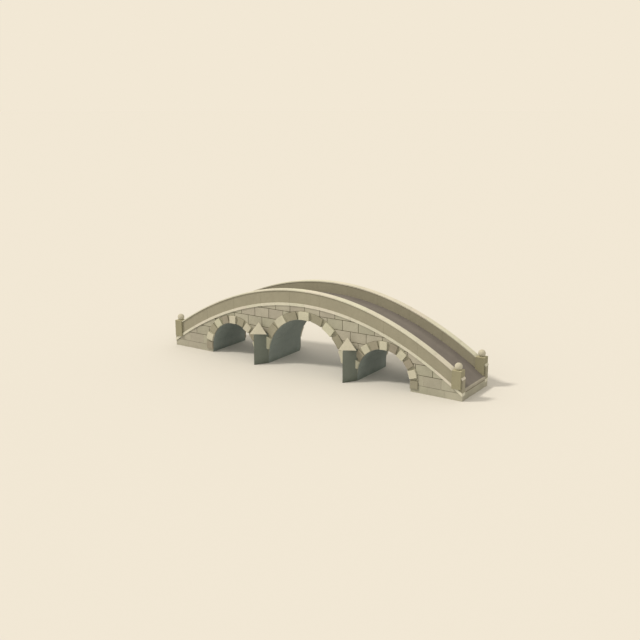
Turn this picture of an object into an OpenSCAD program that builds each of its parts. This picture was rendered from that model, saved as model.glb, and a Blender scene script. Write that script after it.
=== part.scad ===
// Humpback stone bridge with three round arches over a river.
// Frame: millimetres, +Z up, X along the roadway, Y across it.
// The origin lies under the crown on the centre line, at the water surface.

/* [Overall] */
// Length of the bridge over the two end faces
bridge_len = 23300; // [22900:100:24500]
// Height of the road surface above the water at the crown
road_crown = 4743; // [4640:1:4860]
// Drop of the long curve over the half length, in mm per metre squared
hump = 30; // [29.5:0.1:30.2]

/* [Arches] */
// Radius of the centre arch
centre_r = 3040; // [2900:10:3060]
// Radius of the two side arches
side_r = 1950; // [1800:10:1960]
// Distance of the side arches from the crown
side_x = 6130; // [6130:10:6200]
// Height of the springing line above the water
spring_z = 480; // [440:5:500]
// Depth of the centre arch ring
centre_ring = 560; // [450:5:565]
// Depth of the side arch rings
side_ring = 540; // [450:5:545]
// Stones in each arch ring, springers included
ring_stones = 11; // [9, 11, 13]
// Part of each stone's pitch that the stone fills
stone_fill = 0.86; // [0.75:0.01:0.9]
// How far the light stones stand out from the wall
light_proud = 140; // [110:5:150]
// How far the dark stones stand out from the wall
dark_proud = 80; // [50:5:100]

// Courses of stone in the centre barrel
centre_courses = 20; // [10:2:24]
// Courses of stone in each side barrel
side_courses = 10; // [6:2:16]

/* [Walls] */
// Width of the joints between neighbouring stones
joint = 6; // [4:1:10]
// Half the width over the wall faces
wall_half = 1890; // [1860:5:1900]
// Thickness of the side walls
wall_t = 400; // [350:5:405]
// Height of the string course
string_h = 198; // [150:1:230]
// How far the string course stands out from the wall
string_out = 55; // [30:5:70]
// Height of the parapet between string course and coping
parapet_h = 836; // [700:1:950]
// How far the parapet's outer face stands out from the wall
parapet_out = 20; // [0:5:40]
// Thickness of the parapet
parapet_t = 375; // [300:5:390]
// Thickness of the coping
coping_h = 83; // [70:1:120]
// How far the coping stands out from the parapet's outer face
coping_out = 60; // [40:5:80]
// Width of the coping
coping_w = 470; // [450:5:490]
// Thickness of the road paving
paving_t = 151; // [120:1:200]
// Width of the stone sill at each end of the road
sill_w = 60; // [40:10:120]
// Bays of the long courses between the end posts
bays = 9; // [6:1:18]

/* [End posts] */
// Length of a post along the road
post_l = 610; // [560:10:620]
// Width of a post across the road
post_w = 610; // [570:10:630]
// Distance of the posts' centres from the crown
post_x = 11255; // [11200:5:11260]
// Distance of the posts' centres from the centre line
post_y = 1730; // [1710:5:1740]
// Height of the posts' feet above the water
post_z = 760; // [700:10:800]
// Height of a post
post_h = 1170; // [1100:10:1250]
// Radius of the ball on a post
ball_r = 245; // [200:5:250]
// Depth by which the ball is let into the post's top
ball_sunk = 35; // [20:5:60]

/* [Cutwaters] */
// Height of a cutwater's body above the water
cut_h = 2150; // [2000:10:2200]
// How far a cutwater's nose stands out from the wall
cut_len = 940; // [850:10:1050]
// Distance of the cap's axis from the wall
cap_off = 350; // [330:5:370]
// Radius of the cap's three-cornered base
cap_r = 700; // [660:5:720]
// Height of a cap
cap_h = 780; // [700:10:850]

/* [Hidden] */
hl = bridge_len / 2;
k = hump / 1000000;
pier_c = (centre_r + side_x - side_r) / 2;
pier_w = side_x - side_r - centre_r;
in_y = wall_half - wall_t;
str_y = wall_half + string_out;
par_y1 = wall_half + parapet_out;
par_y0 = par_y1 - parapet_t;
cop_y1 = par_y1 + coping_out;
cop_y0 = cop_y1 - coping_w;
pave0 = road_crown - paving_t;
str0 = pave0 - string_h;
par1 = pave0 + parapet_h;
cop1 = par1 + coping_h;
steps = 48;
stone = [0.69, 0.65, 0.54];
stone_dark = [0.58, 0.54, 0.45];
stone_light = [0.86, 0.81, 0.68];
tan = [0.61, 0.58, 0.46];
shade = [0.40, 0.39, 0.34];
paving = [0.49, 0.45, 0.41];

// Long curve of the bridge: height at x of a line that is z0 high at the crown
function curve(x, z0) = z0 - k * x * x;

// A side profile in X and Z, made solid from y0 to y1
module slab(y0, y1) {
  translate([0, y1, 0]) rotate([90, 0, 0]) linear_extrude(y1 - y0) children();
}

// Front pieces lie at -Y, back pieces are their mirror image
module side(back) {
  if (back) mirror([0, 1, 0]) children();
  else children();
}

// Profile between two long curves
module between(za, zb) {
  xs = [for (i = [0 : steps]) -hl + i * 2 * hl / steps];
  polygon(concat([for (i = [0 : steps]) [xs[i], curve(xs[i], za)]],
    [for (i = [0 : steps]) [xs[steps - i], curve(xs[steps - i], zb)]]));
}

// Profile of everything below a long curve down to height zb
module below(za, zb) {
  xs = [for (i = [0 : steps]) -hl + i * 2 * hl / steps];
  polygon(concat([for (i = [0 : steps]) [xs[i], curve(xs[i], za)]],
    [[hl, zb], [-hl, zb]]));
}

// Vertical joints that part the long courses into equal bays between the posts
module bay_joints() {
  run = post_x - post_l / 2;
  for (i = [1 : bays - 1]) {
    translate([-run + i * 2 * run / bays - joint / 2, 0]) square([joint, 6000]);
  }
}

// Radial joints of an arch, one on either side of every stone or course
module arch_joints(r, d, count) {
  pitch = 180 / count;
  for (i = [0 : count - 1]) {
    rotate(90 - (i + 0.5) * pitch) translate([-joint / 2, r - 60])
      square([joint, d + 120]);
  }
}

// Everything above the springing line
module above_spring() {
  translate([-hl - 10, spring_z]) square([2 * hl + 20, 6000]);
}

// The outer circles of the three arch rings
module ring_circles() {
  translate([0, spring_z]) circle(centre_r + centre_ring, $fn = 96);
  for (s = [-1, 1])
    translate([s * side_x, spring_z]) circle(side_r + side_ring, $fn = 96);
}

// Space taken by the four end posts
module post_blocks() {
  for (sx = [-1, 1]) {
    for (sy = [-1, 1]) {
      translate([sx * post_x - post_l / 2, sy * post_y - post_w / 2, post_z])
        cube([post_l, post_w, post_h]);
    }
  }
}

// Space taken by a cutwater body on the front
module cutwater_block(cx) {
  linear_extrude(cut_h) polygon([[cx - pier_w / 2, -wall_half],
    [cx, -wall_half - cut_len], [cx + pier_w / 2, -wall_half]]);
}

module abutment(s) {
  color(shade) difference() {
    translate([s > 0 ? side_x + side_r : -hl, -wall_half, 0])
      cube([hl - side_x - side_r, 2 * wall_half, spring_z]);
    for (b = [0, 1]) {
      side(b == 1) slab(-str_y - 10, -in_y) between(str0, str0 + 2000);
    }
  }
}

module pier(s) {
  color(shade) translate([s * pier_c - pier_w / 2, -wall_half, 0])
    cube([pier_w, 2 * wall_half, spring_z]);
}

// Profile of an arch ring above the springing
module arch_profile(r, d) {
  intersection() {
    difference() {
      circle(r + d, $fn = 96);
      circle(r, $fn = 96);
    }
    translate([-r - d - 10, 0]) square([2 * (r + d) + 20, r + d + 10]);
  }
}

// Vault of an arch in courses that run from face to face
module barrel(cx, r, d, courses) {
  color(shade) slab(-in_y, in_y) translate([cx, spring_z]) difference() {
    arch_profile(r, d);
    arch_joints(r, d, courses);
  }
}

// Profile of the ring stones: every second one from the crown is light.
// Stones are counted from the crown, from first on the left to last on the right.
module stones_profile(r, d, first, last, light_only) {
  pitch = 180 / (ring_stones - 1);
  w = 2 * r * sin(pitch / 2) * stone_fill;
  intersection() {
    difference() {
      circle(r + d, $fn = 96);
      circle(r, $fn = 96);
    }
    union() {
      for (i = [first : last]) {
        if (!light_only || i % 2 == 0)
          rotate(-i * pitch) translate([-w / 2, r - 60]) square([w, d + 120]);
      }
    }
  }
}

// Ring stones on the front face, bedded in a recessed ring of mortar.
// No springer stands at a pier, where the cutwater takes its place.
module ring(cx, r, d, back) {
  half = (ring_stones - 1) / 2;
  first = cx < 0 ? -half : 1 - half;
  last = cx > 0 ? half : half - 1;
  side(back) color(stone_light) difference() {
    union() {
      slab(-wall_half + 30, -in_y) translate([cx, spring_z]) arch_profile(r, d);
      slab(-wall_half - dark_proud, -wall_half) translate([cx, spring_z])
        stones_profile(r, d, first, last, false);
      slab(-wall_half, -wall_half + 30) translate([cx, spring_z])
        intersection() {
          stones_profile(r, d, first, last, false);
          arch_profile(r, d);
        }
      slab(-wall_half - light_proud, -wall_half - dark_proud)
        translate([cx, spring_z]) stones_profile(r, d, first, last, true);
    }
    for (s = [-1, 1]) cutwater_block(s * pier_c);
    slab(-wall_half - light_proud - 10, -in_y + 10) translate([cx, spring_z])
      arch_joints(r, d, ring_stones - 1);
  }
}

module fill() {
  color(stone_dark) difference() {
    slab(-in_y, in_y) difference() {
      intersection() {
        below(pave0, 0);
        above_spring();
      }
      ring_circles();
    }
    post_blocks();
  }
}

module spandrel(back) {
  color(stone) side(back) difference() {
    slab(-wall_half, -in_y) difference() {
      intersection() {
        below(str0, 0);
        above_spring();
      }
      ring_circles();
    }
    post_blocks();
  }
}

module string_course(back) {
  color(stone_light) side(back) difference() {
    slab(-str_y, -in_y) between(str0, pave0);
    slab(-str_y - 10, -in_y + 10) bay_joints();
    post_blocks();
  }
}

module parapet(back) {
  color(tan) side(back) difference() {
    slab(-par_y1, -par_y0) between(pave0, par1);
    slab(-par_y1 - 10, -par_y0 + 10) bay_joints();
    post_blocks();
  }
}

module coping(back) {
  color(stone_light) side(back) difference() {
    slab(-cop_y1, -cop_y0) between(par1, cop1);
    slab(-cop_y1 - 10, -cop_y0 + 10) bay_joints();
    post_blocks();
  }
}

module road() {
  color(paving) difference() {
    slab(-par_y0, par_y0) intersection() {
      between(pave0, road_crown);
      translate([-hl + sill_w, 0]) square([2 * (hl - sill_w), 6000]);
    }
    slab(-par_y0 - 10, par_y0 + 10) bay_joints();
    post_blocks();
  }
}

module sill(s) {
  color(stone) slab(-par_y0, par_y0) intersection() {
    between(pave0, road_crown);
    translate([s > 0 ? hl - sill_w : -hl, 0]) square([sill_w, 6000]);
  }
}

module post(s, back) {
  color(tan) side(back)
    translate([s * post_x - post_l / 2, -post_y - post_w / 2, post_z])
    difference() {
      cube([post_l, post_w, post_h]);
      translate([post_l / 2, post_w / 2, post_h + ball_r - ball_sunk])
        sphere(ball_r, $fn = 64);
    }
}

module ball(s, back) {
  color(stone_light) side(back)
    translate([s * post_x, -post_y, post_z + post_h + ball_r - ball_sunk])
    sphere(ball_r, $fn = 64);
}

module cutwater(s, back) {
  color(shade) side(back) cutwater_block(s * pier_c);
}

// Three-sided pyramid, trimmed flat where it meets the wall
module cap(s, back) {
  color(stone_light) side(back) difference() {
    translate([s * pier_c, -wall_half - cap_off, cut_h])
      cylinder(h = cap_h, r1 = cap_r, r2 = 0, $fn = 3);
    translate([s * pier_c - 1000, -wall_half, cut_h - 10])
      cube([2000, 1000, cap_h + 20]);
  }
}

abutment(-1);  // abutment_left
abutment(1);  // abutment_right
pier(-1);  // pier_left
pier(1);  // pier_right
barrel(-side_x, side_r, side_ring, side_courses);  // barrel_left
barrel(0, centre_r, centre_ring, centre_courses);  // barrel_centre
barrel(side_x, side_r, side_ring, side_courses);  // barrel_right
fill();
ring(-side_x, side_r, side_ring, false);  // ring_left_front
ring(0, centre_r, centre_ring, false);  // ring_centre_front
ring(side_x, side_r, side_ring, false);  // ring_right_front
ring(-side_x, side_r, side_ring, true);  // ring_left_back
ring(0, centre_r, centre_ring, true);  // ring_centre_back
ring(side_x, side_r, side_ring, true);  // ring_right_back
spandrel(false);  // spandrel_front
spandrel(true);  // spandrel_back
string_course(false);  // string_front
string_course(true);  // string_back
parapet(false);  // parapet_front
parapet(true);  // parapet_back
coping(false);  // coping_front
coping(true);  // coping_back
road();
sill(-1);  // sill_left
sill(1);  // sill_right
post(-1, false);  // post_front_left
post(1, false);  // post_front_right
post(-1, true);  // post_back_left
post(1, true);  // post_back_right
ball(-1, false);  // ball_front_left
ball(1, false);  // ball_front_right
ball(-1, true);  // ball_back_left
ball(1, true);  // ball_back_right
cutwater(-1, false);  // cutwater_front_left
cutwater(1, false);  // cutwater_front_right
cutwater(-1, true);  // cutwater_back_left
cutwater(1, true);  // cutwater_back_right
cap(-1, false);  // cap_front_left
cap(1, false);  // cap_front_right
cap(-1, true);  // cap_back_left
cap(1, true);  // cap_back_right
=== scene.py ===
"""A humpback stone bridge with three round arches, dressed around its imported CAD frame.

Metres, +Z up, X along the roadway, Y across it. The front face looks towards -Y and the back face
mirrors it.
"""

import math
import random

import bmesh
import bpy
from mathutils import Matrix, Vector, noise


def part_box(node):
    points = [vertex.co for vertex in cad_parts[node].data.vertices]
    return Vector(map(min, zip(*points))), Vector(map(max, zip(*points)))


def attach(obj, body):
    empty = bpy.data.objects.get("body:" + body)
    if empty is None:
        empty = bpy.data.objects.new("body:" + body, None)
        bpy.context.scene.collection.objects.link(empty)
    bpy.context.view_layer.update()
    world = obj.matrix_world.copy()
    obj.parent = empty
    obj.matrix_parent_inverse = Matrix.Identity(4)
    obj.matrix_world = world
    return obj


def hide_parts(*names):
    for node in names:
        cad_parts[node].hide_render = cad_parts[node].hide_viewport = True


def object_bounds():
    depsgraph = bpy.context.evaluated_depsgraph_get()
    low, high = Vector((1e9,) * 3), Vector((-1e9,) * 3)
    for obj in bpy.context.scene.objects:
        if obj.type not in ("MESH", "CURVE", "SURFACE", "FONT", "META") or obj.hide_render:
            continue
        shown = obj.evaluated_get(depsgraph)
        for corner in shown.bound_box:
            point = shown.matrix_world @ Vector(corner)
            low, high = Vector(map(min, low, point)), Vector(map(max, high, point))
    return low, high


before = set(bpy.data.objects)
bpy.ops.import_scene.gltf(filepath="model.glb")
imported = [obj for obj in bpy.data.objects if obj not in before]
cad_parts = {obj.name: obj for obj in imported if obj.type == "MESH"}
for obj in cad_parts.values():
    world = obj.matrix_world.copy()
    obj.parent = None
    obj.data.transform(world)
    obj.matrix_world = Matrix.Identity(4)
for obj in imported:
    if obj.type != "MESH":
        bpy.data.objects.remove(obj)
CAD_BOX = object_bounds()

# Long curve: a line that is z0 high at the crown drops by HUMP times x squared
HUMP = 0.030
# Arch rings: stones in a whole ring, the part of its pitch that a stone fills, how far the stones stand
# out, and how far the mortar between them lies behind the wall face
RING_STONES = 11
STONE_FILL = 0.86
LIGHT_PROUD = 0.14
DARK_PROUD = 0.08
RING_RECESS = 0.008
# Wall blocks: course height and count, block length and the number each way from the middle, joint width
# and depth, how far a block goes into the wall, and how much its face may stand in or out
COURSE_H = 0.685
COURSES = 6
BLOCK_L = 1.20
COLUMNS = 11
WALL_JOINT = 0.034
JOINT_DEPTH = 0.030
BLOCK_DEPTH = 0.26
FACE_PLAY = 0.003
# A block ends where its height falls under this
THINNEST = 0.02
# Abutments: blocks along X and Y, and how far the outer end lies inside the CAD box
FOOT_COLUMNS = 3
FOOT_ROWS = 4
FOOT_INSET = 0.005
# Dressed courses on top of the walls: joint width and depth, and stone lengths
FINE_JOINT = 0.004
FINE_DEPTH = 0.012
COPING_L = 1.22
PANEL_L = 2.43
# How much deeper than the wall joints a ring stone goes
RING_BURIED = 0.02
# The end of a course under a post's foot starts this far past the point where it would be a bare edge
EDGE_ROOM = 0.02
# Stone balls: depth of the tool marks and how far the surface lies inside the CAD ball, as parts of its
# radius, and the scale of the noise that makes the marks
DENT_DEPTH = 0.010
BALL_INSET = 0.006
DENT_SCALE = 9
# Softened edges
ARRIS = 0.014
FINE_ARRIS = 0.006
CUTWATER_ARRIS = 0.020
CAP_ARRIS = 0.012
POST_ARRIS = 0.010
ARRIS_SEGMENTS = 2
SHARP_ANGLE = math.radians(40)
SMOOTH_ANGLE = math.radians(20)
# Straight runs along a wall block or a core, along a whole ring, and along one stone
OUTLINE_STEPS = 40
RING_STEPS = 96
STONE_STEPS = 6
# Points closer than this are taken as one
WELD = 1e-4
# Tint of what has no stones of its own
PLAIN_TINT = 0.5

# Taken from the frame
HALF_LEN = CAD_BOX[1].x
SPRING_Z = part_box("barrel_centre")[0].z
WALL_Y = -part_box("spandrel_front")[0].y
INNER_Y = -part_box("spandrel_front")[1].y
STRING_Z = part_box("spandrel_front")[1].z
PARAPET_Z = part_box("string_front")[1].z
COPING_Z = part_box("parapet_front")[1].z
TOP_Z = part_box("coping_front")[1].z
PIER_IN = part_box("pier_right")[0].x
PIER_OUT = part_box("pier_right")[1].x
POST_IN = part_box("post_front_right")[0].x
POST_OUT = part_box("post_front_right")[1].x
POST_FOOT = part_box("post_front_right")[0].z


def arch(node):
    """Centre x, inner radius and outer radius of the barrel in that node."""
    low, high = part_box(node)
    centre = (low.x + high.x) / 2
    inner = PIER_IN if abs(centre) < 0.1 else abs(centre) - PIER_OUT
    return round(centre, 4), inner, (high.x - low.x) / 2


ARCHES = {
    "left": arch("barrel_left"),
    "centre": arch("barrel_centre"),
    "right": arch("barrel_right"),
}


def curve(x, z0):
    """Height at x of a long curve that is z0 high at the crown."""
    return z0 - HUMP * x * x


# ---------------------------------------------------------------- meshes


def new_piece(name, bm, materials, nodes):
    """Turns a bmesh into a piece that rides on the bridge and stands for the given CAD nodes."""
    mesh = bpy.data.meshes.new(name)
    bmesh.ops.recalc_face_normals(bm, faces=bm.faces)
    bm.to_mesh(mesh)
    bm.free()
    obj = bpy.data.objects.new(name, mesh)
    bpy.context.scene.collection.objects.link(obj)
    for material in materials:
        mesh.materials.append(material)
    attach(obj, "root")
    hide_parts(*nodes)
    return obj


def add_arris(obj, width):
    """Adds the modifier that rounds an object's sharp edges."""
    bevel = obj.modifiers.new("arris", "BEVEL")
    bevel.width = width
    bevel.segments = ARRIS_SEGMENTS
    bevel.limit_method = "ANGLE"
    bevel.angle_limit = SHARP_ANGLE


def shade(mesh):
    """Shades the shallow bends of a mesh smooth."""
    mesh.shade_smooth()
    mesh.set_sharp_from_angle(angle=SMOOTH_ANGLE)


def soften(obj, width):
    """Rounds the sharp edges of a piece for good, then shades its shallow bends smooth."""
    add_arris(obj, width)
    bpy.context.view_layer.update()
    graph = bpy.context.evaluated_depsgraph_get()
    rounded = bpy.data.meshes.new_from_object(obj.evaluated_get(graph))
    obj.modifiers.clear()
    obj.data = rounded
    shade(rounded)


def sweep(bm, sections, tint):
    """Skins closed loops of equal size one after another, closes both ends and tints every point."""
    layer = bm.verts.layers.float.get("tint") or bm.verts.layers.float.new("tint")
    loops = [[bm.verts.new(p) for p in section] for section in sections]
    count = len(loops[0])
    for a, b in zip(loops, loops[1:]):
        for i in range(count):
            j = (i + 1) % count
            bm.faces.new((a[i], a[j], b[j], b[i]))
    bm.faces.new(loops[0])
    bm.faces.new(loops[-1])
    for loop in loops:
        for vert in loop:
            vert[layer] = tint


def prism(bm, outline, y0, y1, tint):
    """Makes an outline in X and Z solid from y0 to y1."""
    sweep(bm, [[(x, y, z) for x, z in outline] for y in (y0, y1)], tint)


# ---------------------------------------------------------------- materials


def linear(hex_colour, gain=1.0):
    """Linear colour with alpha from a hex colour such as 9c9375, made gain times as bright."""
    channels = [int(hex_colour[i : i + 2], 16) / 255 for i in (0, 2, 4)]
    plain = [c / 12.92 if c <= 0.04045 else ((c + 0.055) / 1.055) ** 2.4 for c in channels]
    return [min(1, c * gain) for c in plain] + [1]


class Graph:
    """A material's node tree, built one node at a time."""

    def __init__(self, name):
        self.material = bpy.data.materials.new(name)
        self.material.use_nodes = True
        self.tree = self.material.node_tree
        self.tree.nodes.clear()

    def add(self, kind, inputs, **settings):
        """Adds a node. Each input is a value, or another node's output to link."""
        node = self.tree.nodes.new("ShaderNode" + kind)
        for key, value in settings.items():
            setattr(node, key, value)
        for key, value in inputs.items():
            if isinstance(value, bpy.types.NodeSocket):
                self.tree.links.new(value, node.inputs[key])
            else:
                node.inputs[key].default_value = value
        return node

    def noise(self, where, scale, detail=4.0, roughness=0.55):
        """Noise from 0 to 1."""
        settings = {"Vector": where, "Scale": scale, "Detail": detail, "Roughness": roughness}
        return self.add("TexNoise", settings).outputs["Fac"]

    def spread(self, value, low, high, to_low=0.0, to_high=1.0):
        """Maps low..high to to_low..to_high, smoothly and clamped."""
        settings = {"Value": value, 1: low, 2: high, 3: to_low, 4: to_high}
        return self.add("MapRange", settings, interpolation_type="SMOOTHSTEP").outputs[0]

    def math(self, operation, a, b=0.0):
        """One operation on one or two numbers."""
        return self.add("Math", {0: a, 1: b}, operation=operation).outputs[0]

    def mix(self, factor, a, b, blend="MIX"):
        """Mixes two colours."""
        settings = {0: factor, 6: a, 7: b}
        return self.add("Mix", settings, data_type="RGBA", blend_type=blend).outputs[2]


def edge_mask(graph, radius):
    """1 on edges and 0 on flat faces."""
    rounded = graph.add("Bevel", {"Radius": radius}, samples=4).outputs[0]
    flat = graph.add("NewGeometry", {}).outputs["True Normal"]
    product = graph.add("VectorMath", {0: rounded, 1: flat}, operation="DOT_PRODUCT")
    return graph.spread(product.outputs["Value"], 0.995, 0.80)


def scaled(graph, colour, red, green, blue):
    """A colour with its three channels multiplied."""
    return graph.mix(1.0, colour, [red, green, blue, 1], "MULTIPLY")


def finish_rough_surface(graph, colour, rough, relief, strength, distance):
    """Ends a material in a dull shader with a bump from relief, and gives the material."""
    raised = graph.add("Bump", {"Height": relief, "Strength": strength, "Distance": distance}).outputs[0]
    settings = {"Base Color": colour, "Roughness": rough, "Normal": raised}
    shader = graph.add("BsdfPrincipled", settings)
    shader.inputs["Specular IOR Level"].default_value = STONE_SPECULAR
    graph.add("OutputMaterial", {"Surface": shader.outputs[0]})
    return graph.material


def stone(name, base, cloud=0.07, grain=0.12, tint=0.0, wear=0.12, painted_top_light=0.0, damp=0.0):
    """Dressed stone of one base colour, clouded and grained.

    tint varies it from stone to stone, wear pales the edges, the top-light amount is a painted highlight
    that pales what faces up, and damp darkens the foot.
    """
    graph = Graph(name)
    where = graph.add("TexCoord", {}).outputs["Object"]
    clouds = graph.spread(graph.noise(where, 0.8), 0.30, 0.70)
    colour = graph.mix(clouds, linear(base, 1 - cloud), linear(base, 1 + cloud))
    patches = graph.spread(graph.noise(where, 5.0, 6.0), 0.35, 0.70)
    pale_patch = scaled(graph, colour, *PATCH_PALE)
    dark_patch = scaled(graph, colour, *PATCH_DARK)
    colour = graph.mix(patches, pale_patch, dark_patch)
    grains = graph.noise(where, GRAIN_SCALE, 6.0, 0.75)
    dark_grain = 1 - 2 * grain
    darker = scaled(graph, colour, dark_grain, dark_grain, dark_grain)
    colour = graph.mix(graph.spread(grains, 0.38, 0.62), darker, colour)
    if tint:
        colour = tinted(graph, colour, tint)
    if wear:
        uneven = graph.spread(patches, 0.0, 1.0, wear, wear * 0.4)
        worn = graph.math("MULTIPLY", edge_mask(graph, WEAR_RADIUS), uneven)
        colour = graph.mix(worn, colour, linear(base, WORN_GAIN))
    # Painted highlight: faces that point up are made paler, as light from above would make them
    if painted_top_light:
        normal = graph.add("NewGeometry", {}).outputs["Normal"]
        facing = graph.add("SeparateXYZ", {0: normal}).outputs["Z"]
        paler = scaled(graph, colour, 1 + painted_top_light, 1 + painted_top_light, 1 + painted_top_light)
        colour = graph.mix(graph.spread(facing, 0.5, 0.9), colour, paler)
    if damp:
        height = graph.add("SeparateXYZ", {0: where}).outputs["Z"]
        wave = graph.math("MULTIPLY", graph.noise(where, 1.6), 0.35)
        edge = graph.math("ADD", height, wave)
        wet = scaled(graph, colour, *WET)
        colour = graph.mix(graph.spread(edge, 0.60, 0.20, 0.0, damp), colour, wet)
    pits = graph.spread(graph.noise(where, 38.0, 3.0, 0.6), 0.40, 0.30)
    relief = graph.math("SUBTRACT", graph.math("ADD", grains, graph.noise(where, 7.0, 5.0)), pits)
    rough = graph.spread(grains, 0.3, 0.7, 0.78, 0.94)
    return finish_rough_surface(graph, colour, rough, relief, 0.4, 0.005)


def tinted(graph, colour, tint):
    """A colour that changes a little in tone and hue from stone to stone, by the tint on its points."""
    own = graph.add("Attribute", {}, attribute_name="tint").outputs["Fac"]
    dark = scaled(graph, colour, 1 - tint, 1 - tint * 1.05, 1 - tint * 1.15)
    light = scaled(graph, colour, 1 + tint, 1 + tint * 0.95, 1 + tint * 0.9)
    colour = graph.mix(own, dark, light)
    hue = graph.math("FRACT", graph.math("MULTIPLY", own, HUE_SHUFFLE))
    return graph.mix(hue, scaled(graph, colour, *ROSY), scaled(graph, colour, *OLIVE))


def paving_material():
    """Fine worn road metal, paler along the two wheel tracks."""
    graph = Graph("road_paving")
    where = graph.add("TexCoord", {}).outputs["Object"]
    clouds = graph.spread(graph.noise(where, 0.7), 0.3, 0.7)
    colour = graph.mix(clouds, linear(ROAD, 0.94), linear(ROAD, 1.06))
    across = graph.add("SeparateXYZ", {0: where}).outputs["Y"]
    from_middle = graph.math("ABSOLUTE", across)
    from_track = graph.math("ABSOLUTE", graph.math("SUBTRACT", from_middle, TRACK_Y))
    polished = scaled(graph, colour, *POLISHED)
    colour = graph.mix(graph.spread(from_track, 0.38, 0.05), colour, polished)
    grit = graph.noise(where, GRIT_SCALE, 4.0, 0.7)
    darker = scaled(graph, colour, 0.78, 0.78, 0.78)
    colour = graph.mix(graph.spread(grit, 0.38, 0.62), darker, colour)
    rough = graph.spread(grit, 0.3, 0.7, 0.8, 0.95)
    return finish_rough_surface(graph, colour, rough, grit, 0.4, 0.006)


# Scales of the noise that makes the grains of stone and of road, and the specular level of both
GRAIN_SCALE = 150.0
GRIT_SCALE = 70.0
STONE_SPECULAR = 0.2
# Width of the worn edges and how much brighter they are
WEAR_RADIUS = 0.02
WORN_GAIN = 1.9
# Spreads a stone's tint again, so that its hue doesn't follow its tone
HUE_SHUFFLE = 7.3
# How far the wheel tracks lie from the middle of the road
TRACK_Y = 0.72
# What the three channels are multiplied by
PATCH_PALE = (1.025, 1.025, 1.025)
PATCH_DARK = (0.975, 0.975, 0.97)
ROSY = (1.02, 0.99, 1.02)
OLIVE = (0.985, 1.005, 0.98)
WET = (0.62, 0.66, 0.60)
POLISHED = (1.07, 1.07, 1.06)

ROAD = "7b7775"
BLOCK_STONE = stone("block_stone", "adaca0", tint=0.07)
LIGHT_STONE = stone("light_stone", "c5c5b5", tint=0.03)
# The coping and the posts get a painted highlight on what faces up
COPING_STONE = stone("coping_stone", "d3d2c6", cloud=0.04, tint=0.02, painted_top_light=0.055)
DARK_STONE = stone("dark_stone", "9b988a", tint=0.05)
PARAPET_STONE = stone("parapet_stone", "9a9788", cloud=0.03, grain=0.08, wear=0.08)
POST_STONE = stone("post_stone", "96937e", cloud=0.03, grain=0.08, wear=0.20, painted_top_light=0.45)
CAP_STONE = stone("cap_stone", "cccabc", cloud=0.04)
# The cutwaters are in a darker, cooler copy of the stone: painted shade for the dim light low by the
# water
SHADED_CUTWATER_STONE = stone("shaded_cutwater_stone", "79817b", cloud=0.04, wear=0.10, damp=0.5)
# Vault stone, for piers, soffits and faces inside the arches, is a darker, cooler copy of the stone:
# painted shade
SHADED_VAULT_STONE = stone("shaded_vault_stone", "909a99", cloud=0.05, wear=0.05, damp=0.5)
JOINT_MORTAR = stone("joint_mortar", "5d5540", grain=0.2, wear=0.0)
RING_MORTAR = stone("ring_mortar", "a8a696", grain=0.2, wear=0.0)
PAVING = paving_material()

# ---------------------------------------------------------------- pieces


def side_name(side):
    """front for the -Y face and back for the +Y face."""
    return "front" if side < 0 else "back"


def wall_floor(x, z, gap):
    """Height at x above which the wall's blocks stand: z, or the arch ring where that is higher."""
    for centre, _, outer in ARCHES.values():
        reach = (outer + gap) ** 2 - (x - centre) ** 2
        if reach > 0:
            z = max(z, SPRING_Z + math.sqrt(reach))
    return z


def block_outline(x0, x1, z0, z1, upright):
    """Outline of one wall block, cut by the string course above it and by the arch rings below it.

    upright is the width of its vertical joints.
    """
    gap = WALL_JOINT / 2
    top, foot = [], []
    for i in range(OUTLINE_STEPS + 1):
        x = x0 + upright / 2 + (x1 - x0 - upright) * i / OUTLINE_STEPS
        roof = min(z1 - gap, curve(x, STRING_Z) - gap / 2)
        base = wall_floor(x, z0 + gap, gap / 2)
        if roof - base > THINNEST:
            top.append((x, roof))
            foot.append((x, base))
        elif top:
            break
    if len(top) < 3:
        return None
    return simplified(foot + top[::-1])


def simplified(outline):
    """The outline without the points that lie on a straight line between their neighbours."""
    kept = []
    for i, p in enumerate(outline):
        a, b = Vector(outline[i - 1]), Vector(outline[(i + 1) % len(outline)])
        off = (b - a).normalized().cross(Vector(p) - a) if (b - a).length > 1e-9 else 0
        if abs(off) > 1e-5:
            kept.append(p)
    return kept


def wall_blocks(side, rng):
    """Coursed blocks of one side wall. The lowest course is flat, and its upright joints are fine."""
    bm = bmesh.new()
    for course in range(COURSES):
        z0 = SPRING_Z + course * COURSE_H
        shift = 0 if course % 2 else BLOCK_L / 2
        upright = WALL_JOINT if course else FINE_JOINT
        for column in range(-COLUMNS, COLUMNS):
            x0 = shift + column * BLOCK_L
            outline = block_outline(x0, x0 + BLOCK_L, z0, z0 + COURSE_H, upright)
            if outline:
                face = WALL_Y + (rng.uniform(-FACE_PLAY, FACE_PLAY) if course else 0)
                prism(bm, outline, side * face, side * (face - BLOCK_DEPTH), rng.random())
    name = "wall_blocks_" + side_name(side)
    piece = new_piece(name, bm, [BLOCK_STONE], ["spandrel_" + side_name(side)])
    soften(piece, ARRIS)


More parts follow.
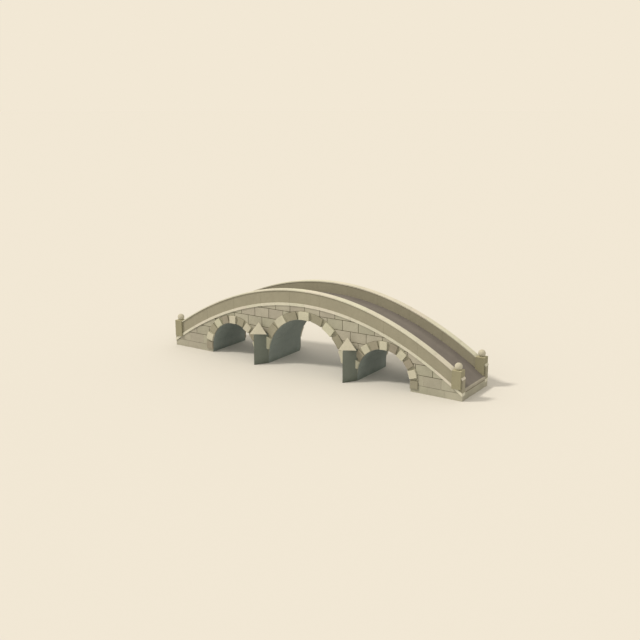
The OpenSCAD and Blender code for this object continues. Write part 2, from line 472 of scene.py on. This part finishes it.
def abutment_blocks(node, rng):
    """Foot course of one abutment, in large flat blocks. Its face in the arch is in the darker vault
    stone, which paints the shade under the arch.
    """
    low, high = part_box(node)
    long = (high.x - low.x) / FOOT_COLUMNS
    wide = (high.y - low.y) / FOOT_ROWS
    gap = FINE_JOINT / 2
    end = HALF_LEN - FOOT_INSET
    bm = bmesh.new()
    for i in range(FOOT_COLUMNS):
        for j in range(FOOT_ROWS):
            x0 = max(low.x + i * long + gap, -end)
            x1 = min(low.x + (i + 1) * long - gap, end)
            y0 = low.y + j * wide + gap
            y1 = low.y + (j + 1) * wide - gap
            outline = [(x0, low.z), (x1, low.z), (x1, high.z - gap), (x0, high.z - gap)]
            prism(bm, outline, y0, y1, rng.uniform(0.3, 0.7))
    name = node.replace("abutment", "abutment_blocks")
    piece = new_piece(name, bm, [BLOCK_STONE, SHADED_VAULT_STONE], [node])
    opening = min(abs(low.x), abs(high.x))
    for face in piece.data.polygons:
        if abs(abs(face.center.x) - opening) < FINE_JOINT:
            face.material_index = 1
    soften(piece, FINE_ARRIS)


def bed_copy(node, name, side):
    """The mortar behind the wall blocks: the CAD wall, its outer face set back by the joint depth."""
    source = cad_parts[node].data
    bm = bmesh.new()
    bm.from_mesh(source)
    bmesh.ops.remove_doubles(bm, verts=bm.verts, dist=WELD)
    for vert in bm.verts:
        if abs(vert.co.y) > WALL_Y - WELD:
            vert.co.y = side * (WALL_Y - JOINT_DEPTH)
    new_piece(name, bm, [JOINT_MORTAR], [node])


def ring_bed(which, side):
    """The mortar between and behind one arch ring's stones, in the darker vault stone towards the
    opening, as painted shade.
    """
    centre, inner, outer = ARCHES[which]
    front = WALL_Y - RING_RECESS
    corners = ((inner, front), (outer, front), (outer, INNER_Y), (inner, INNER_Y))
    bm = bmesh.new()
    sections = []
    for i in range(RING_STEPS + 1):
        a = math.pi * i / RING_STEPS
        c, s = math.cos(a), math.sin(a)
        sections.append([(centre + r * c, side * y, SPRING_Z + r * s) for r, y in corners])
    sweep(bm, sections, PLAIN_TINT)
    name = f"{which}_{side_name(side)}"
    piece = new_piece("ring_bed_" + name, bm, [RING_MORTAR, SHADED_VAULT_STONE], ["ring_" + name])
    for face in piece.data.polygons:
        inward = Vector((centre - face.center.x, SPRING_Z - face.center.z))
        if Vector((face.normal.x, face.normal.z)).dot(inward) > 0.5:
            face.material_index = 1
    shade(piece.data)


def ring_stone(bm, centre, inner, outer, turn, y0, y1, tint):
    """One straight-sided stone of an arch ring. turn is its angle from the crown."""
    half = inner * math.sin(math.pi / (RING_STONES - 1) / 2) * STONE_FILL
    across = Vector((math.cos(turn), -math.sin(turn)))
    out = Vector((math.sin(turn), math.cos(turn)))
    sections = []
    for i in range(STONE_STEPS + 1):
        u = -half + 2 * half * i / STONE_STEPS
        low, high = (across * u + out * math.sqrt(r * r - u * u) for r in (inner, outer))
        corners = ((low, y0), (high, y0), (high, y1), (low, y1))
        sections.append([(centre + p.x, y, SPRING_Z + p.y) for p, y in corners])
    sweep(bm, sections, tint)


def ring_stones(which, side, rng):
    """The stones of one arch ring. Every second one from the crown is light and stands out more.

    A side arch has no foot stone at its pier, and the centre arch has none at either.
    """
    centre, inner, outer = ARCHES[which]
    half = (RING_STONES - 1) // 2
    first = -half if centre < 0 else 1 - half
    last = half if centre > 0 else half - 1
    pitch = math.pi / (RING_STONES - 1)
    groups = {
        "light": (0, LIGHT_PROUD, LIGHT_STONE, "light_stone"),
        "dark": (1, DARK_PROUD, DARK_STONE, "ashlar"),
    }
    name = f"{which}_{side_name(side)}"
    for kind, (odd, proud, material, slot) in groups.items():
        bm = bmesh.new()
        y0 = side * (WALL_Y + proud)
        y1 = side * (WALL_Y - JOINT_DEPTH - RING_BURIED)
        for i in range(first, last + 1):
            if i % 2 == odd:
                ring_stone(bm, centre, inner, outer, i * pitch, y0, y1, rng.random())
        piece = new_piece(f"{kind}_voussoirs_{name}", bm, [material], ["ring_" + name])
        soften(piece, ARRIS)


def stone_run(x0, x1, length):
    """Ends of the stones between x0 and x1, of nearly the given length."""
    count = max(1, round((x1 - x0) / length))
    return [x0 + (x1 - x0) * i / count for i in range(count + 1)]


def course_stones(name, side, y0, y1, low, high, length, material, slot, node, rng):
    """Dressed stones of one course on the long curve. low and high are its crown heights.

    The string course and the parapet show again under the posts' feet. The parapet and the coping go on
    beyond the posts.
    """
    corners = ((y0, low), (y1, low), (y1, high), (y0, high))
    bm = bmesh.new()
    runs = [stone_run(-POST_IN, POST_IN, length)]
    if low == STRING_Z:
        course_foot(bm, side, y0, y1, low, high, HALF_LEN)
    else:
        runs += [stone_run(-HALF_LEN, -POST_OUT, length), stone_run(POST_OUT, HALF_LEN, length)]
    if low == PARAPET_Z:
        course_foot(bm, side, y0, y1, low, high, POST_OUT)
    for run in runs:
        for a, b in zip(run, run[1:]):
            a_gap = FINE_JOINT / 2 if a > run[0] else 0
            b_gap = FINE_JOINT / 2 if b < run[-1] else 0
            sections = []
            for i in range(STONE_STEPS + 1):
                x = a + a_gap + (b - a - a_gap - b_gap) * i / STONE_STEPS
                sections.append([(x, side * y, curve(x, z)) for y, z in corners])
            sweep(bm, sections, rng.random())
    piece = new_piece(f"{name}_{side_name(side)}", bm, [material], [node])
    soften(piece, FINE_ARRIS)


def course_foot(bm, side, y0, y1, low, high, reach):
    """The ends of a course that show under the feet of one side's posts, as far out as reach."""
    start = math.sqrt((low - POST_FOOT) / HUMP) + EDGE_ROOM
    for end in (-1, 1):
        sections = []
        for i in range(STONE_STEPS + 1):
            x = start + (reach - start) * i / STONE_STEPS
            top = min(POST_FOOT, curve(x, high))
            corners = ((y0, curve(x, low)), (y1, curve(x, low)), (y1, top), (y0, top))
            sections.append([(end * x, side * y, z) for y, z in corners])
        sweep(bm, sections, PLAIN_TINT)


def course_core(name, side, y0, y1, low, high, node):
    """Mortar inside a course of dressed stones, which shows only in their joints."""
    y0, y1 = y0 + FINE_DEPTH, y1 - FINE_DEPTH
    low, high = low + FINE_DEPTH, high - FINE_DEPTH
    corners = ((y0, low), (y1, low), (y1, high), (y0, high))
    bm = bmesh.new()
    sections = []
    for i in range(OUTLINE_STEPS + 1):
        x = -POST_IN + 2 * POST_IN * i / OUTLINE_STEPS
        sections.append([(x, side * y, curve(x, z)) for y, z in corners])
    sweep(bm, sections, PLAIN_TINT)
    new_piece(f"{name}_{side_name(side)}", bm, [JOINT_MORTAR], [node])


def long_courses(side, rng):
    """String course, parapet and coping of one side."""
    name = side_name(side)
    rows = {
        "string": (STRING_Z, PARAPET_Z, COPING_L, COPING_STONE, "light_stone"),
        "parapet": (PARAPET_Z, COPING_Z, PANEL_L, PARAPET_STONE, "tan_stone"),
        "coping": (COPING_Z, TOP_Z, COPING_L, COPING_STONE, "light_stone"),
    }
    for row, (low, high, length, material, slot) in rows.items():
        node = f"{row}_{name}"
        ends = sorted(abs(corner.y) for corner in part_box(node))
        course_stones(row + "_stones", side, *ends, low, high, length, material, slot, node, rng)
        course_core(row + "_core", side, *ends, low, high, node)


def ball_piece(node):
    """A turned stone ball with faint tool marks."""
    low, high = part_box(node)
    centre = (low + high) / 2
    radius = (high.x - low.x) / 2
    bm = bmesh.new()
    bmesh.ops.create_icosphere(bm, subdivisions=5, radius=radius)
    for vert in bm.verts:
        dent = DENT_DEPTH * noise.noise(vert.co * DENT_SCALE + centre) - BALL_INSET
        vert.co = centre + vert.co * (1 + dent)
    piece = new_piece(node.replace("ball", "stone_ball"), bm, [LIGHT_STONE], [node])
    piece.data.shade_smooth()


def dress_cad_nodes():
    """Gives the CAD nodes that stay in view their stone, and softens posts, caps and cutwaters."""
    looks = {
        "post": (POST_STONE, POST_ARRIS),
        "cap": (CAP_STONE, CAP_ARRIS),
        # Cutwaters, piers and vaults take the darker, cooler stones that paint their shade
        "cutwater": (SHADED_CUTWATER_STONE, CUTWATER_ARRIS),
        "pier": (SHADED_VAULT_STONE, 0.0),
        "barrel": (SHADED_VAULT_STONE, 0.0),
        "fill": (JOINT_MORTAR, 0.0),
        "sill": (BLOCK_STONE, 0.0),
        "road": (PAVING, 0.0),
    }
    for name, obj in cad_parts.items():
        if obj.hide_render:
            continue
        material, arris = looks[name.split("_")[0]]
        obj.data.materials.clear()
        obj.data.materials.append(material)
        if arris:
            weld = obj.modifiers.new("weld", "WELD")
            weld.merge_threshold = WELD
            add_arris(obj, arris)


# ---------------------------------------------------------------- stage


# The floor: tone, radius and how far it lies under the bridge's feet
FLOOR_GREY = 0.653
FLOOR_RADIUS = 900
FLOOR_GAP = 0.002
# The light from all round
ROOM_COLOUR = "f2e8d5"
ROOM_STRENGTH = 1.0
# The key light: colour, strength, apparent width, height above the horizon and the way its light travels
KEY_COLOUR = (1.0, 0.909, 0.749)
KEY_STRENGTH = 1.98
KEY_WIDTH = math.radians(9)
KEY_HEIGHT = math.radians(48)
KEY_WAY = (0.77, 0.64)
# The photo's viewpoint, as solved from the straight edges around the bridge
CAMERA_PLACE = (33.19, -49.938, 18.278)
CAMERA_PITCH = math.radians(75.81)
CAMERA_TURN = math.radians(33.623)
CAMERA_LENS = 50.58
CAMERA_SENSOR = 36
CAMERA_FAR = 2000


def floor_material():
    """One plain dull colour for the floor."""
    graph = Graph("floor_cream")
    colour = [FLOOR_GREY, FLOOR_GREY, FLOOR_GREY, 1]
    shader = graph.add("BsdfPrincipled", {"Base Color": colour, "Roughness": 1.0})
    shader.inputs["Specular IOR Level"].default_value = 0.0
    graph.add("OutputMaterial", {"Surface": shader.outputs[0]})
    return graph.material


def make_floor():
    """A wide pale floor under the bridge's feet."""
    bm = bmesh.new()
    bmesh.ops.create_circle(bm, cap_ends=True, radius=FLOOR_RADIUS, segments=96)
    mesh = bpy.data.meshes.new("floor")
    bm.to_mesh(mesh)
    bm.free()
    floor = bpy.data.objects.new("floor", mesh)
    floor.location.z = CAD_BOX[0].z - FLOOR_GAP
    mesh.materials.append(floor_material())
    bpy.context.scene.collection.objects.link(floor)


def make_light():
    """A broad soft key light from the front left, in a pale room."""
    key = bpy.data.lights.new("key", "SUN")
    key.energy = KEY_STRENGTH
    key.angle = KEY_WIDTH
    key.color = KEY_COLOUR
    lamp = bpy.data.objects.new("key", key)
    level = math.cos(KEY_HEIGHT)
    direction = Vector((KEY_WAY[0] * level, KEY_WAY[1] * level, -math.sin(KEY_HEIGHT)))
    lamp.rotation_mode = "QUATERNION"
    lamp.rotation_quaternion = direction.to_track_quat("-Z", "Y")
    bpy.context.scene.collection.objects.link(lamp)
    world = bpy.data.worlds.new("room")
    world.use_nodes = True
    room = world.node_tree.nodes["Background"]
    room.inputs["Color"].default_value = linear(ROOM_COLOUR)
    room.inputs["Strength"].default_value = ROOM_STRENGTH
    bpy.context.scene.world = world
    bpy.context.scene.view_settings.view_transform = "Standard"


def make_camera():
    """The camera looks down on the bridge from the front right."""
    camera = bpy.data.cameras.new("camera")
    camera.sensor_width = CAMERA_SENSOR
    camera.lens = CAMERA_LENS
    camera.clip_end = CAMERA_FAR
    obj = bpy.data.objects.new("camera", camera)
    obj.location = CAMERA_PLACE
    obj.rotation_euler = (CAMERA_PITCH, 0, CAMERA_TURN)
    bpy.context.scene.collection.objects.link(obj)
    bpy.context.scene.camera = obj


make_camera()
make_light()
make_floor()
rng = random.Random(7)
for side in (-1, 1):
    wall_blocks(side, rng)
    bed_copy("spandrel_" + side_name(side), "wall_bed_" + side_name(side), side)
    for which in ARCHES:
        ring_bed(which, side)
        ring_stones(which, side, rng)
    long_courses(side, rng)
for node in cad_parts:
    if node.startswith("ball"):
        ball_piece(node)
    if node.startswith("abutment"):
        abutment_blocks(node, rng)
dress_cad_nodes()
